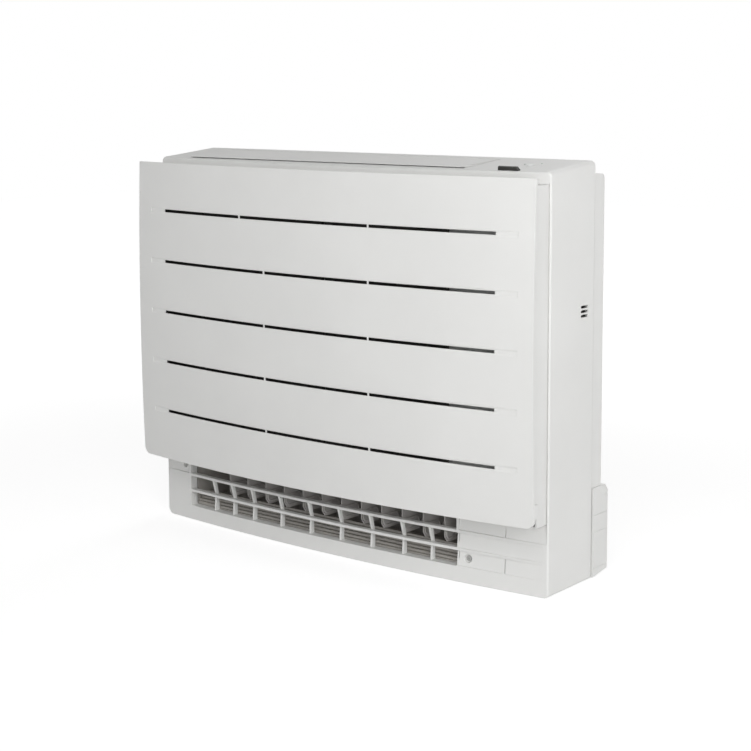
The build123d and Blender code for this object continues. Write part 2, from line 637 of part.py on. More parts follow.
with BuildPart() as bell_mouth:
    block(CHAMBER_LEFT, CHAMBER_RIGHT, PLATE_Y, PLATE_Y + SKIN, CHAMBER_LOW, CHAMBER_HIGH + 2)
    for x in (CHAMBER_LEFT, CHAMBER_RIGHT - SKIN):
        block(x, x + SKIN, PLATE_Y, SPLIT_Y, CHAMBER_LOW, CHAMBER_HIGH)
    rod((FAN_X, PLATE_Y - 1, FAN_Z), (0, 1, 0), THROAT_R + 12, SKIN + 2, Mode.SUBTRACT)
    with BuildSketch(Plane(origin=(FAN_X, 0, FAN_Z), x_dir=(1, 0, 0), z_dir=(0, 0, 1))) as lip:
        Polygon((THROAT_R + 13, PLATE_Y), (THROAT_R + 4, PLATE_Y + 3), (THROAT_R, PLATE_Y + 10),
                (THROAT_R + SKIN, PLATE_Y + 10), (THROAT_R + 6, PLATE_Y + 5.5),
                (THROAT_R + 13, PLATE_Y + SKIN), align=None)
    revolve(lip.sketch, axis=Axis((FAN_X, 0, FAN_Z), (0, 1, 0)), revolution_arc=360)
keep(bell_mouth.part, "bell_mouth")

SHELL_LOW = 132
PAD_X = 300
PAD_Z = (200, 520)
PAD_R = 10
PAD_HOLE_R = 3.5
PIPE_EXIT = (262, 342, 142, 184)    # x0, x1, z0, z1 of the knock-out behind the pipes
BACK_RIBS_X = (-200, -100, 0, 100, 200)
BACK_RIB = (4, 4)                   # width and height

with BuildPart() as rear_shell:
    block(-SHELL_HALF, SHELL_HALF, SPLIT_Y, SHELL_BACK, SHELL_LOW, SHELL_TOP)
    top_edge = rear_shell.edges().filter_by(Axis.X).sort_by(lambda e: e.center().Y + e.center().Z)
    fillet(top_edge[-1], 7)
    block(-SHELL_HALF + SKIN, SHELL_HALF - SKIN, SPLIT_Y - 1, SHELL_BACK - SKIN,
          SHELL_LOW + SKIN, SHELL_TOP - SKIN, Mode.SUBTRACT)
    # the top and bottom walls stay clear of the air ducts
    block(-SHELL_HALF + SKIN, SHELL_HALF - SKIN, SPLIT_Y - 1, SPLIT_Y + 8,
          SHELL_TOP - 8, SHELL_TOP + 1, Mode.SUBTRACT)
    block(CHAMBER_LEFT - 1, CHAMBER_RIGHT + 1, SPLIT_Y - 1, SHELL_BACK - SKIN,
          SHELL_LOW - 1, SHELL_LOW + SKIN + 1, Mode.SUBTRACT)
    for x in (CHAMBER_LEFT, CHAMBER_RIGHT - SKIN):
        block(x, x + SKIN, SPLIT_Y, SHELL_BACK - 1, CHAMBER_LOW, CHAMBER_HIGH)
    for x in (-PAD_X, PAD_X):
        for z in PAD_Z:
            rod((x, SHELL_BACK - 1, z), (0, 1, 0), PAD_R, WALL_Y - SHELL_BACK + 1)
            rod((x, SHELL_BACK - 10, z), (0, 1, 0), PAD_HOLE_R, 40, Mode.SUBTRACT)
    x0, x1, z0, z1 = PIPE_EXIT
    block(x0, x1, SHELL_BACK - 0.8, SHELL_BACK + 1, z0, z1, Mode.SUBTRACT)
    # the right side wall is notched behind the casing's three slots
    block(SHELL_HALF - SKIN - 1, SHELL_HALF + 1, SPLIT_Y - 1, SPLIT_Y + 10,
          VENT_Z[0] - 8, VENT_Z[-1] + 8, Mode.SUBTRACT)
    # upright stiffening ribs on the back
    for x in BACK_RIBS_X:
        block(x - BACK_RIB[0] / 2, x + BACK_RIB[0] / 2, SHELL_BACK - 1, SHELL_BACK + BACK_RIB[1],
              SHELL_LOW + 20, SHELL_TOP - 20)
keep(rear_shell.part, "rear_shell")

# ---------------------------------------------------------------- base frame
BASE_TOP = 132
BASE_FLOOR = 2.5
BASE_KERB = 16
SEAT = 0.1                          # the casing's rear edge stands this close to the base
KNOCK_LINES = (92, 67, 14)          # heights of the break-out grooves in the sides
KNOCK_DEPTH = 0.6
KNOCK_WIDTH = 1.6
PIPE_PORT = (284, 342, 24, 78)      # x0, x1, z0, z1 of the opening behind the flare nuts
DRAIN_PORT_R = 16

with BuildPart() as base_frame:
    # floor under the casing, with a kerb that follows the casing's inside
    with BuildSketch():
        casing_plan(SKIN + GAP)
    extrude(amount=BASE_KERB)
    extrude(front_outline(), amount=DEPTH, both=True, mode=Mode.INTERSECT)
    with BuildSketch(Plane.XY.offset(BASE_FLOOR)):
        casing_plan(2 * SKIN + GAP, rear=CASING_REAR + 1)
    extrude(amount=BASE_KERB, mode=Mode.SUBTRACT)
    # box behind the casing, down the wall
    rear = CASING_REAR + SEAT
    side_profile([(rear, 1), (WALL_Y, 7), (WALL_Y, 123.5), (112, BASE_TOP), (rear, BASE_TOP)],
                 -CASING_HALF, CASING_HALF)
    side_profile([(rear - 1, 3.5), (WALL_Y - SKIN, 9.5), (WALL_Y - SKIN, 122.5), (111, 129.5),
                  (rear - 1, 129.5)], -INSIDE, INSIDE, Mode.SUBTRACT)
    block(CHAMBER_LEFT - 1, CHAMBER_RIGHT + 1, rear - 1, SHELL_BACK + 1,
          BASE_TOP - 5, BASE_TOP + 1, Mode.SUBTRACT)
    for side in (-1, 1):
        gusset = sorted((side * (INSIDE - GAP), side * (INSIDE - GAP - SKIN)))
        block(*gusset, 30, rear + 6, 8, 70)
        web = sorted((side * (INSIDE - 1), side * (INSIDE - GAP - SKIN)))
        block(*web, rear, rear + 6, 2, 70)
        skin = sorted((side * (CASING_HALF - KNOCK_DEPTH), side * (CASING_HALF + 1)))
        for z in KNOCK_LINES:
            block(*skin, rear + 2, WALL_Y + 1, z - KNOCK_WIDTH / 2, z + KNOCK_WIDTH / 2,
                  Mode.SUBTRACT)
        block(*skin, WALL_Y - 11, WALL_Y + 1, 117, 117 + KNOCK_WIDTH, Mode.SUBTRACT)
        block(*skin, rear + 2, rear + 2 + KNOCK_WIDTH, KNOCK_LINES[2], KNOCK_LINES[1],
              Mode.SUBTRACT)
    # ways out for the pipes, to the wall, and for the drain hose, to the floor
    x0, x1, z0, z1 = PIPE_PORT
    block(x0, x1, SHELL_BACK, WALL_Y + 1, z0, z1, Mode.SUBTRACT)
    rod((HOSE_X, SPOUT[1], -1), (0, 0, 1), DRAIN_PORT_R, 12, Mode.SUBTRACT)
keep(base_frame.part, "base_frame")

# ---------------------------------------------------------------- fan and motor
MOTOR_Y = (64, 90)
MOTOR_R = 48
BACKPLATE_Y = 57.5
SHROUD_Y = 18
BLADES = 8
BLADE_RADII = (85, 118, 147)        # leading edge, middle and trailing edge
BLADE_FRONT = (0, -13, -32)         # angles of one face of a blade at those radii, in degrees
BLADE_BACK = (1.7, -11.8, -31)      # and of its other face
HUB_Y = 44
HUB_R = 46
BOSS_R = 12

with BuildPart() as fan_impeller:
    rod((FAN_X, BACKPLATE_Y, FAN_Z), (0, 1, 0), FAN_R, SKIN)
    rod((FAN_X, HUB_Y, FAN_Z), (0, 1, 0), HUB_R, BACKPLATE_Y - HUB_Y + 1)
    rod((FAN_X, HUB_Y + SKIN, FAN_Z), (0, 1, 0), HUB_R - SKIN, 20, Mode.SUBTRACT)
    rod((FAN_X, HUB_Y, FAN_Z), (0, 1, 0), BOSS_R, BACKPLATE_Y + SKIN - HUB_Y)
    with BuildSketch(fan_plane(SHROUD_Y)) as shroud:
        Circle(FAN_R)
        Circle(THROAT_R + 6, mode=Mode.SUBTRACT)
    extrude(shroud.sketch, amount=SKIN)
    with BuildSketch(fan_plane(SHROUD_Y + 1)) as blades:
        with PolarLocations(0, BLADES):
            near, far = (
                [Vector(r, 0).rotate(Axis.Z, angle) for r, angle in zip(BLADE_RADII, angles)]
                for angles in (BLADE_FRONT, BLADE_BACK)
            )
            with BuildLine() as blade:
                ThreePointArc(*near)
                ThreePointArc(*far)
                Line(near[0], far[0])
                Line(near[-1], far[-1])
            make_face(blade.edges())
    extrude(blades.sketch, amount=BACKPLATE_Y - SHROUD_Y)
    rod((FAN_X, 0, FAN_Z), (0, 1, 0), SHAFT_R, WALL_Y, Mode.SUBTRACT)
keep(fan_impeller.part, "fan_impeller")

with BuildPart() as motor_shaft:
    rod((FAN_X, HUB_Y, FAN_Z), (0, 1, 0), SHAFT_R, MOTOR_Y[1] - 2 - HUB_Y)
    rod((FAN_X, HUB_Y - 9, FAN_Z), (0, 1, 0), SHAFT_R - 1, 10)
keep(motor_shaft.part, "motor_shaft")

with BuildPart() as fan_nut:
    with BuildSketch(fan_plane(HUB_Y - 6)) as hexagon:
        RegularPolygon(7.5, 6)
        Circle(SHAFT_R - 1, mode=Mode.SUBTRACT)
    extrude(hexagon.sketch, amount=6)
keep(fan_nut.part, "fan_nut")

with BuildPart() as fan_motor:
    rod((FAN_X, MOTOR_Y[0] + 3, FAN_Z), (0, 1, 0), MOTOR_R, MOTOR_Y[1] - MOTOR_Y[0] - 3)
    rod((FAN_X, MOTOR_Y[0], FAN_Z), (0, 1, 0), 16, 4)
    rod((FAN_X, MOTOR_Y[0] - 1, FAN_Z), (0, 1, 0), SHAFT_R + PLAY, 60, Mode.SUBTRACT)
    block(FAN_X - 12, FAN_X + 12, MOTOR_Y[0] + 10, MOTOR_Y[1] - 4, FAN_Z - MOTOR_R - 6,
          FAN_Z - MOTOR_R + 6)
keep(fan_motor.part, "fan_motor")

BRACKET_ARMS = 3
FOOT_RADIUS = 105
with BuildPart() as motor_bracket:
    with BuildSketch(fan_plane(MOTOR_Y[1])) as spider:
        Circle(MOTOR_R + 6)
        with PolarLocations(FOOT_RADIUS / 2 + 10, BRACKET_ARMS, start_angle=90):
            Rectangle(FOOT_RADIUS - 20, 16)
        with PolarLocations(FOOT_RADIUS, BRACKET_ARMS, start_angle=90):
            Circle(9)
    extrude(spider.sketch, amount=3)
    with BuildSketch(fan_plane(MOTOR_Y[1] + 2)) as feet:
        with PolarLocations(FOOT_RADIUS, BRACKET_ARMS, start_angle=90):
            Circle(8)
    extrude(feet.sketch, amount=SHELL_BACK - SKIN - MOTOR_Y[1] - 2)
    rod((FAN_X, MOTOR_Y[1] - 1, FAN_Z), (0, 1, 0), 20, 10, Mode.SUBTRACT)
keep(motor_bracket.part, "motor_bracket")

# ---------------------------------------------------------------- lower duct and its damper
DUCT_TRIM = RETURN_DEPTH + 1        # the duct starts this far behind the casing's front face
DUCT_LEFT = OUTLET_LEFT - 0.5
DUCT_RIGHT = OUTLET_RIGHT + 0.5
DUCT_ROOF = 97
CHEEK = 2.5
STEPS = 6                           # fine steps on the duct's floor
STEP_START = -38
STEP_RUN = 6
STEP_RISE = 3.2
STEP_FOOT = 19
STEP_TOP = 24                       # top of the first step
TAB_X = (205, 221)                  # small tab at the right end of the steps
TAB_HIGH = 41
DAMPER_Y = 54
DAMPER_Z = 112
DAMPER_HALF = 34
DAMPER_PIN_R = 3


def lower_vane_x(index):
    """X of one lower vane's pivot."""
    return LOWER_VANE_FIRST + index * LOWER_VANE_PITCH


with BuildPart() as lower_duct:
    with BuildSketch(Plane.YZ.offset(DUCT_LEFT)) as floor:
        with BuildLine() as curve:
            ThreePointArc((101, 131.5), (74, 50), (0, 17.5))
            Polyline((0, 17.5), (-60, 17.5), (-60, 20), (0, 20))
            ThreePointArc((0, 20), (71.8, 52), (98.5, 131.5))
            Line((98.5, 131.5), (101, 131.5))
        make_face(curve.edges())
    extrude(floor.sketch, amount=DUCT_RIGHT - DUCT_LEFT)
    side_profile([(-60, DUCT_ROOF), (PLATE_Y + SKIN, DUCT_ROOF), (PLATE_Y + SKIN, 132),
                  (PLATE_Y, 132), (PLATE_Y, DUCT_ROOF + SKIN), (-60, DUCT_ROOF + SKIN)],
                 DUCT_LEFT, DUCT_RIGHT)
    # stepped sill inside the outlet
    for step in range(STEPS):
        y = STEP_START + step * STEP_RUN
        block(DUCT_LEFT, DUCT_RIGHT, y, STEP_START + STEPS * STEP_RUN,
              STEP_FOOT, STEP_TOP + step * STEP_RISE)
    block(*TAB_X, STEP_START - 2, STEP_START, STEP_FOOT, TAB_HIGH)
    # cheeks, which also stand on the base
    for x in (DUCT_LEFT - CHEEK, DUCT_RIGHT):
        with BuildSketch(Plane.YZ.offset(x)) as cheek:
            with BuildLine() as rim:
                ThreePointArc((101, 131.5), (74, 50), (40, 25))
                Polyline((40, 25), (40, BASE_FLOOR), (-60, BASE_FLOOR), (-60, DUCT_ROOF + SKIN),
                         (PLATE_Y, DUCT_ROOF + SKIN), (PLATE_Y, 131.5), (101, 131.5))
            make_face(rim.edges())
        extrude(cheek.sketch, amount=CHEEK)
        rod((x - 1, DAMPER_Y, DAMPER_Z), (1, 0, 0), DAMPER_PIN_R + PLAY, CHEEK + 2, Mode.SUBTRACT)
    with BuildSketch(Plane.XY.offset(BASE_FLOOR)) as inside:
        casing_plan(DUCT_TRIM, rear=WALL_Y)
    extrude(inside.sketch, amount=CHAMBER_LOW, mode=Mode.INTERSECT)
    # the kerb of the base passes in front of the cheeks
    block(DUCT_LEFT - 5, DUCT_RIGHT + 5, FRONT_Y, CASING_FRONT + 5, 0, 17.5, Mode.SUBTRACT)
    for index in range(LOWER_VANES):
        rod((lower_vane_x(index), LOWER_VANE_Y, DUCT_ROOF - 1), (0, 0, 1), VANE_PIN_R + PLAY,
            SKIN + 2, Mode.SUBTRACT)
keep(lower_duct.part, "lower_duct")

with BuildPart() as lower_damper:
    block(DUCT_LEFT + 1.5, DUCT_RIGHT - 1.5, DAMPER_Y - 1.5, DAMPER_Y + 1.5,
          DAMPER_Z - DAMPER_HALF, DAMPER_Z + DAMPER_HALF)
    rod((DUCT_LEFT + 1.5, DAMPER_Y, DAMPER_Z), (1, 0, 0), 4, DUCT_RIGHT - DUCT_LEFT - 3)
    rod((DUCT_LEFT - CHEEK, DAMPER_Y, DAMPER_Z), (1, 0, 0), DAMPER_PIN_R,
        DUCT_RIGHT - DUCT_LEFT + 2 * CHEEK)
keep(lower_damper.part, "lower_damper")

STEPPER_R = 13
STEPPER_THICK = 18


def stepper(x, y, z, shaft_y, shaft_z):
    """A small can-shaped stepper motor standing to the right of X, with a flange and a plug."""
    rod((x + 3, y, z), (1, 0, 0), STEPPER_R, STEPPER_THICK)
    rod((x, shaft_y, shaft_z), (1, 0, 0), 4.5, 5)
    block(x + 3, x + 4, y - 3.5, y + 3.5, z - STEPPER_R - 6, z + STEPPER_R)
    block(x + 8, x + 16, y - 6, y + 6, z - STEPPER_R - 5, z - STEPPER_R + 2)


with BuildPart() as damper_motor:
    stepper(DUCT_RIGHT + CHEEK, DAMPER_Y, DAMPER_Z - 8, DAMPER_Y, DAMPER_Z)
keep(damper_motor.part, "damper_motor")

# ---------------------------------------------------------------- lower vanes and link rod
LOWER_VANE_LOW = 47
LOWER_VANE_FRONT = -36
LOWER_VANE_REAR = 26
CRANK_Y = 14
CRANK_R = 1.5
LOWER_ROD_Z = (53, 56)
RIM = (-14, 60)                     # y, z of the long raised rim on each face of a vane
RIM_SIZE = (38, 18)
RIM_HEIGHT = 1.2

for index in range(LOWER_VANES):
    x = lower_vane_x(index)
    with BuildPart() as lower_vane:
        side_profile([(LOWER_VANE_FRONT, DUCT_ROOF - 1), (LOWER_VANE_FRONT, 56), (-30, 48),
                      (-22, LOWER_VANE_LOW), (CRANK_Y - 8, LOWER_VANE_LOW), (CRANK_Y - 8, 60),
                      (LOWER_VANE_REAR - 4, 60), (LOWER_VANE_REAR, 66),
                      (LOWER_VANE_REAR, DUCT_ROOF - 1)],
                     x - VANE_THICK / 2, x + VANE_THICK / 2)
        half = VANE_THICK / 2 + RIM_HEIGHT
        with BuildSketch(Plane.YZ.offset(x - half)) as rim:
            with Locations(RIM):
                SlotOverall(*RIM_SIZE)
                SlotOverall(RIM_SIZE[0] - 4, RIM_SIZE[1] - 4, mode=Mode.SUBTRACT)
                Circle(4)
        extrude(rim.sketch, amount=2 * half)
        rod((x, LOWER_VANE_Y, DUCT_ROOF - 4), (0, 0, 1), 3.5, 3.8)
        rod((x, LOWER_VANE_Y, DUCT_ROOF - 1), (0, 0, 1), VANE_PIN_R, SKIN + 0.8)
        rod((x, CRANK_Y, LOWER_ROD_Z[0] - 2), (0, 0, 1), CRANK_R, 61 - LOWER_ROD_Z[0] + 2)
    keep(lower_vane.part, f"lower_vane_{index + 1:02d}")

with BuildPart() as lower_vane_rod:
    block(lower_vane_x(0) - 8, lower_vane_x(LOWER_VANES - 1) + 8, CRANK_Y - 3.5, CRANK_Y + 3.5,
          *LOWER_ROD_Z)
    for index in range(LOWER_VANES):
        rod((lower_vane_x(index), CRANK_Y, LOWER_ROD_Z[0] - 1), (0, 0, 1), CRANK_R + PLAY, 5,
            Mode.SUBTRACT)
keep(lower_vane_rod.part, "lower_vane_rod")

# ---------------------------------------------------------------- upper duct, vanes and rod
UPPER_LEFT = -312
UPPER_RIGHT = 228
UPPER_FRONT = -28                   # outside of the duct's upright part
UPPER_REAR = 52.5
UPPER_LOW = 549
UPPER_BEND = 565
UPPER_TOP = 585
UPPER_CRANK_Z = 577.5
UPPER_CRANK_R = 1.2
UPPER_NOTCH = (16, 30)


def upper_vane_x(index):
    """X of one upper vane's pivot."""
    return UPPER_VANE_FIRST + index * UPPER_VANE_PITCH


def upper_duct_profile(inset, spill):
    """(y, z) outline of the upper duct, moved inwards and run past both mouths."""
    return [
        (PLATE_Y + inset, UPPER_LOW - spill),
        (PLATE_Y + inset, UPPER_LOW),
        (UPPER_FRONT + inset, UPPER_BEND),
        (UPPER_FRONT + inset, UPPER_TOP + spill),
        (UPPER_REAR - inset, UPPER_TOP + spill),
        (UPPER_REAR - inset, UPPER_BEND),
        (SHELL_BACK - SKIN - inset, UPPER_LOW),
        (SHELL_BACK - SKIN - inset, UPPER_LOW - spill),
    ]


with BuildPart() as upper_duct:
    side_profile(upper_duct_profile(0, 0), UPPER_LEFT, UPPER_RIGHT)
    side_profile(upper_duct_profile(SKIN, 1), UPPER_LEFT + SKIN, UPPER_RIGHT - SKIN,
                 Mode.SUBTRACT)
    for index in range(UPPER_VANES):
        rod((upper_vane_x(index), UPPER_FRONT - 1, UPPER_VANE_Z), (0, 1, 0), VANE_PIN_R + PLAY,
            UPPER_REAR - UPPER_FRONT + 2, Mode.SUBTRACT)
keep(upper_duct.part, "upper_duct")

for index in range(UPPER_VANES):
    x = upper_vane_x(index)
    with BuildPart() as upper_vane:
        half = VANE_THICK / 2
        block(x - half, x + half, UPPER_FRONT + SKIN + 1, UPPER_REAR - SKIN - 1,
              UPPER_BEND + 1.5, UPPER_TOP - 4)
        block(x - half - 1, x + half + 1, UPPER_NOTCH[0], UPPER_NOTCH[1], 573.5, UPPER_TOP,
              Mode.SUBTRACT)
        rod((x, UPPER_NOTCH[0] - 1, UPPER_CRANK_Z), (0, 1, 0), UPPER_CRANK_R,
            UPPER_NOTCH[1] - UPPER_NOTCH[0] + 2)
        rod((x, UPPER_FRONT + 0.2, UPPER_VANE_Z), (0, 1, 0), VANE_PIN_R, SKIN + 3)
        rod((x, UPPER_REAR - SKIN - 3, UPPER_VANE_Z), (0, 1, 0), VANE_PIN_R, SKIN + 2.8)
    keep(upper_vane.part, f"upper_vane_{index + 1}")

with BuildPart() as upper_vane_rod:
    block(upper_vane_x(0) - 8, upper_vane_x(UPPER_VANES - 1) + 8, UPPER_NOTCH[0] + 4,
          UPPER_NOTCH[1] - 4, UPPER_CRANK_Z - 2.5, UPPER_CRANK_Z + 2.5)
    for index in range(UPPER_VANES):
        rod((upper_vane_x(index), UPPER_NOTCH[0], UPPER_CRANK_Z), (0, 1, 0),
            UPPER_CRANK_R + PLAY, 20, Mode.SUBTRACT)
keep(upper_vane_rod.part, "upper_vane_rod")

# ---------------------------------------------------------------- upper flap and its motor
FLAP_ARM = 3.5
FLAP_LIP = 3                        # the flap's front edge reaches this far over the casing
with BuildPart() as upper_flap:
    lip_y = FLAP_FRONT - FLAP_LIP
    side_profile([(lip_y, top_z(lip_y) + 2.2), (FLAP_REAR - 1.5, top_z(FLAP_REAR - 1.5)),
                  (FLAP_REAR, top_z(FLAP_REAR) - FLAP_THICK),
                  (FLAP_FRONT + 9, top_z(FLAP_FRONT + 9) - FLAP_THICK),
                  (FLAP_FRONT + 8, top_z(FLAP_FRONT + 8) - 1.8),
                  (FLAP_FRONT, top_z(FLAP_FRONT) + 1.2), (lip_y, top_z(lip_y) + 1.2)],
                 FLAP_LEFT, FLAP_RIGHT)
    for x, pin_x in ((FLAP_LEFT, FLAP_LEFT - 6.3), (FLAP_RIGHT - FLAP_ARM, FLAP_RIGHT)):
        block(x, x + FLAP_ARM, FLAP_HINGE_Y - 4, FLAP_HINGE_Y + 3.5, FLAP_HINGE_Z - 3,
              top_z(FLAP_HINGE_Y - 4) - 2)
        rod((pin_x, FLAP_HINGE_Y, FLAP_HINGE_Z), (1, 0, 0), FLAP_PIN_R, 6.3)
keep(upper_flap.part, "upper_flap")

with BuildPart() as flap_motor:
    stepper(FLAP_RIGHT + EAR_GAP + EAR_THICK, FLAP_HINGE_Y - 7, FLAP_HINGE_Z - 10,
            FLAP_HINGE_Y, FLAP_HINGE_Z)
keep(flap_motor.part, "flap_motor")

# ---------------------------------------------------------------- sensor, button, lamps, board
SENSOR = (286, 319)
SENSOR_REAR = -37
BOARD = (260, 332, -30, 40)
BOARD_Z = 578
BOARD_THICK = 1.6
BUTTON_TRAVEL = 1.2

with BuildPart() as sensor_window:
    front = casing_front(SENSOR[1])
    side_profile([(front + 1, top_z(front + 1)), (front + 1.5, top_z(front) + 5),
                  (front + 4, top_z(front) + 6.2), (SENSOR_REAR - 1, top_z(front) + 6),
                  (SENSOR_REAR, top_z(SENSOR_REAR))], *SENSOR)
    # the right-hand end slants away
    with BuildSketch(Plane.XZ.offset(60)) as slant:
        Polygon((SENSOR[1] + 1, 580), (SENSOR[1] + 1, 600), (SENSOR[1] - 8, 600),
                (SENSOR[1] - 0.5, 590), (SENSOR[1] - 0.5, 580), align=None)
    extrude(slant.sketch, amount=-60, mode=Mode.SUBTRACT)
keep(sensor_window.part, "sensor_window")

with BuildPart() as receiver_board:
    block(*BOARD, BOARD_Z, BOARD_Z + BOARD_THICK)
    for x in (BOARD[0] + 4, BOARD[1] - 4):
        for y in (BOARD[2] + 4, BOARD[3] - 4):
            rod((x, y, BOARD_Z + 1), (0, 0, 1), 2.5, top_z(y - 2.5) - SKIN - BOARD_Z - 1)
    block(BUTTON[0] - 3, BUTTON[0] + 3, BUTTON[1] - 3, BUTTON[1] + 3, BOARD_Z + 1, BOARD_Z + 4.5)
    block(270, 282, -22, -12, BOARD_Z + 1, BOARD_Z + 6)
keep(receiver_board.part, "receiver_board")

with BuildPart() as power_button:
    cap_top = top_z(BUTTON[1]) + 1.2
    rod((*BUTTON, BOARD_Z + 4.5 + BUTTON_TRAVEL + 0.3), (0, 0, 1), BUTTON_R,
        cap_top - BOARD_Z - 6)
    fillet(power_button.edges().sort_by(Axis.Z)[-1], 0.6)
    rod((*BUTTON, BOARD_Z + 7), (0, 0, 1), BUTTON_R + 2, 2)
keep(power_button.part, "power_button")

with BuildPart() as indicator_lenses:
    for x, y in LAMPS:
        rod((x, y, BOARD_Z + BOARD_THICK), (0, 0, 1), LAMP_R - 0.05,
            top_z(y) + 0.4 - BOARD_Z - BOARD_THICK)
keep(indicator_lenses.part, "indicator_lenses")

# ---------------------------------------------------------------- electrics
BOX = (262, 352, 4, 76, 190, 500)   # x0, x1, y0, y1, z0, z1
BOX_WALL = 1.2
CAPACITORS = (                      # x, z, radius and height off the board
    (285, 470, 12, 30),
    (315, 470, 9, 22),
    (280, 430, 7, 18),
)
BOARD_BLOCKS = (                    # x, z, width, tallness and height off the board
    (310, 390, 40, 34, 26),
    (290, 330, 30, 30, 12),
    (325, 330, 20, 50, 20),
    (285, 270, 24, 10, 14),
    (320, 250, 14, 60, 10),
)
TERMINALS = (280, 18, 4)            # first x, pitch and number

with BuildPart() as switch_box:
    block(*BOX)
    x0, x1, y0, y1, z0, z1 = BOX
    block(x0 + BOX_WALL, x1 - BOX_WALL, y0 - 1, y1 - BOX_WALL, z0 + BOX_WALL, z1 - BOX_WALL,
          Mode.SUBTRACT)
    for z in (z0 + 30, z1 - 50):
        block(x0 + 20, x1 - 20, y1, SHELL_BACK - SKIN, z, z + 20)
keep(switch_box.part, "switch_box")

with BuildPart() as main_board:
    board_back = BOX[3] - BOX_WALL
    block(BOX[0] + 6, BOX[1] - 6, board_back - 8, board_back - 6.4, BOX[4] + 12, BOX[5] - 12)
    for x in (BOX[0] + 12, BOX[1] - 12):
        for z in (BOX[4] + 20, BOX[5] - 20):
            rod((x, board_back - 7, z), (0, 1, 0), 3, 7)
    for x, z, radius, height in CAPACITORS:
        rod((x, board_back - 7, z), (0, -1, 0), radius, height)
    for x, z, width, tall, height in BOARD_BLOCKS:
        block(x - width / 2, x + width / 2, board_back - 7 - height, board_back - 7,
              z - tall / 2, z + tall / 2)
keep(main_board.part, "main_board")

with BuildPart() as terminal_block:
    block(270, 344, 14, 40, 166, BOX[4])
    first, pitch, count = TERMINALS
    for index in range(count):
        x = first + index * pitch
        block(x - 7, x + 7, 13, 24, 170, 184, Mode.SUBTRACT)
        rod((x, 25, 177), (0, -1, 0), 4, 5)
        block(x - 5, x + 5, 19, 20.4, 176.4, 177.6, Mode.SUBTRACT)
keep(terminal_block.part, "terminal_block")

with BuildPart() as room_thermistor:
    for z in (378, 400):
        block(356, INSIDE, VENT_Y - 10, SPLIT_Y - GAP, z, z + 3)
    block(355, 357, VENT_Y - 10, SPLIT_Y - GAP, 378, 403)
    rod((361, VENT_Y - 5, 380), (0, 0, 1), 2.5, 21)
keep(room_thermistor.part, "room_thermistor")

# ---------------------------------------------------------------- pipes and flare nuts
GAS_R = 4.76                        # 3/8 inch copper pipe
LIQUID_R = 3.18                     # 1/4 inch copper pipe
GAS_DOWN = (300, 60)                # x and z of each pipe's lower run
LIQUID_DOWN = (326, 40)
PIPE_END = 46
NUT_LENGTH = 24
NUTS = (                            # pipe place, pipe radius, size over flats, bore radius
    (GAS_DOWN, GAS_R, 22, 7.9),
    (LIQUID_DOWN, LIQUID_R, 17, 5.6),
)


def pipe(y, radius, down_x, down_z, bend):
    """A copper pipe from the heat exchanger, down and back to its flare nut."""
    start = (TUBE_RIGHT, y, TUBE_LOW)
    with BuildLine() as path:
        FilletPolyline(start, (down_x, y, TUBE_LOW), (down_x, y, down_z),
                       (down_x, PIPE_END, down_z), radius=bend)
    with BuildSketch(Plane(origin=start, z_dir=(1, 0, 0))) as section:
        Circle(radius)
    sweep(section.sketch, path=path.wires()[0])


with BuildPart() as gas_pipe:
    pipe(TUBE_ROWS_Y[1], GAS_R, *GAS_DOWN, 25)
keep(gas_pipe.part, "gas_pipe")

with BuildPart() as liquid_pipe:
    pipe(TUBE_ROWS_Y[0], LIQUID_R, *LIQUID_DOWN, 18)
keep(liquid_pipe.part, "liquid_pipe")

with BuildPart() as flare_nuts:
    for (x, z), radius, flats, bore in NUTS:
        with BuildSketch(Plane(origin=(x, PIPE_END - NUT_LENGTH / 2, z), z_dir=(0, 1, 0))) as hexagon:
            RegularPolygon(flats / 2, 6, major_radius=False)
            Circle(radius, mode=Mode.SUBTRACT)
        extrude(hexagon.sketch, amount=NUT_LENGTH)
        rod((x, PIPE_END, z), (0, 1, 0), bore, 14, Mode.SUBTRACT)
keep(flare_nuts.part, "flare_nuts")

# ---------------------------------------------------------------- front screws
CROSS = (2.6, 0.6)                  # half length and half width of the cross slot

with BuildPart() as casing_screws:
    for x, z, depth in SCREWS:
        y = casing_front(x) + depth
        rod((x, y, z), (0, -1, 0), SCREW_HEAD_R, 1.6)
        rod((x, y - 0.5, z), (0, 1, 0), SCREW_SHANK_R, 8)
        for across, upward in (CROSS, CROSS[::-1]):
            block(x - across, x + across, y - 2, y - 0.5, z - upward, z + upward, Mode.SUBTRACT)
keep(casing_screws.part, "casing_screws")
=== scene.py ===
"""Looks of the floor standing air conditioner: materials, floor, light and camera.

Metres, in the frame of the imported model: +X right, +Y to the wall, +Z up.
"""
import json
from math import cos, pi, sin

import bpy
from mathutils import Matrix, Vector

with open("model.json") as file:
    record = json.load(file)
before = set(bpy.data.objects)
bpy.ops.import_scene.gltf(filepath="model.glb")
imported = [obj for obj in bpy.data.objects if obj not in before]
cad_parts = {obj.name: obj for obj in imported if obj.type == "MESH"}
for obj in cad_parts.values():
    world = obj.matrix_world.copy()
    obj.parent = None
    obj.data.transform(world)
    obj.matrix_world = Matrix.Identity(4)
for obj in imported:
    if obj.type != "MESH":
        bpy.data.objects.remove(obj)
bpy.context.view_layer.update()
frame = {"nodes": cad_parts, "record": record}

MM = 0.001

# ---------------------------------------------------------------- node helpers


